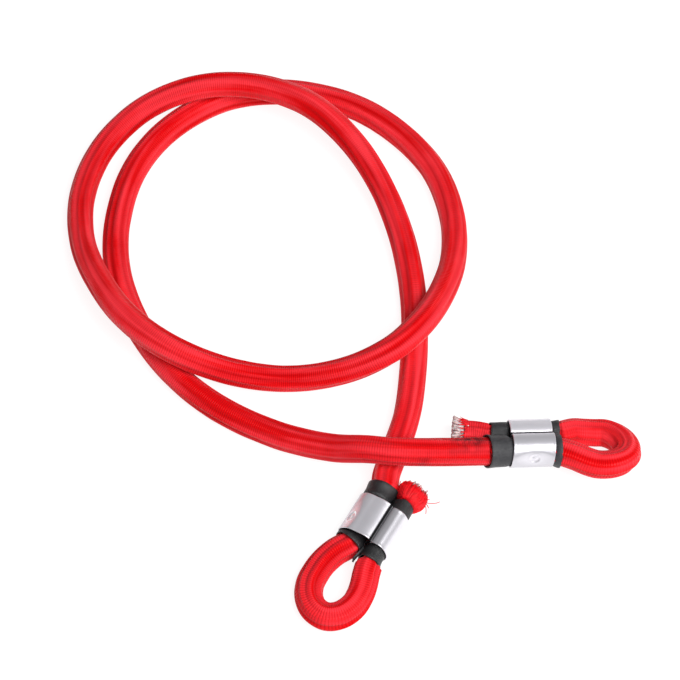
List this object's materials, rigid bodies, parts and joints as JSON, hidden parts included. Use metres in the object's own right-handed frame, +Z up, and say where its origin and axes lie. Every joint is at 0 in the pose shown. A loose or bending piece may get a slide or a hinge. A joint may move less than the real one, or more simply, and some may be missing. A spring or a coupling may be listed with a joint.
{
  "type": "bungee cord",
  "caption": "Elastic bungee cord lying in a loose coil, each end folded into an eye and held by a metal clamp over rubber sleeves.",
  "frame": {"origin": "on the floor, under the middle of the box round the laid-out cord", "axes": "+Z up from the floor, +X towards the right eye, -Y towards the front eye and the camera"},
  "size_m": [0.3002, 0.3376, 0.0279],
  "materials": {
    "sheath": "satin braid",
    "core": "matte",
    "sleeve": "satin",
    "clamp": "mill finish"
  },
  "bodies": {
    "coil": {"coil_sheath": "sheath", "coil_core": "core", "front_lead_sheath": "sheath", "front_lead_core": "core", "right_lead_sheath": "sheath", "right_lead_core": "core"},
    "front_neck": {"front_neck_sheath": "sheath", "front_neck_core": "core"},
    "front_end": {"front_eye_sheath": "sheath", "front_eye_core": "core", "front_main_sleeve": "sleeve", "front_tail_sleeve": "sleeve", "front_clamp": "clamp"},
    "right_neck": {"right_neck_sheath": "sheath", "right_neck_core": "core"},
    "right_end": {"right_eye_sheath": "sheath", "right_eye_core": "core", "right_main_sleeve": "sleeve", "right_tail_sleeve": "sleeve", "right_clamp": "clamp"}
  },
  "joints": [
    {"name": "front_stretch", "type": "slide", "parent": "coil", "child": "front_neck", "axis": [-0.2234, -0.9747, 0], "range_m": [0, 0.055], "stiffness_N_per_m": 1350, "deforming": ["front_lead_sheath", "front_lead_core"]},
    {"name": "front_swing", "type": "hinge", "parent": "front_neck", "child": "front_end", "pos_m": [0.02067, -0.08472, 0.00764], "axis": [0, 0, 1], "range_deg": [-45, 25], "stiffness_Nm_per_rad": 0.12, "deforming": ["front_neck_sheath", "front_neck_core"]},
    {"name": "right_stretch", "type": "slide", "parent": "coil", "child": "right_neck", "axis": [0.9946, 0.1038, 0], "range_m": [0, 0.022], "stiffness_N_per_m": 1350, "deforming": ["right_lead_sheath", "right_lead_core"]},
    {"name": "right_swing", "type": "hinge", "parent": "right_neck", "child": "right_end", "pos_m": [0.06538, -0.07409, 0.01518], "axis": [0, 0, 1], "range_deg": [-45, 20], "stiffness_Nm_per_rad": 0.12, "deforming": ["right_neck_sheath", "right_neck_core"]}
  ]
}
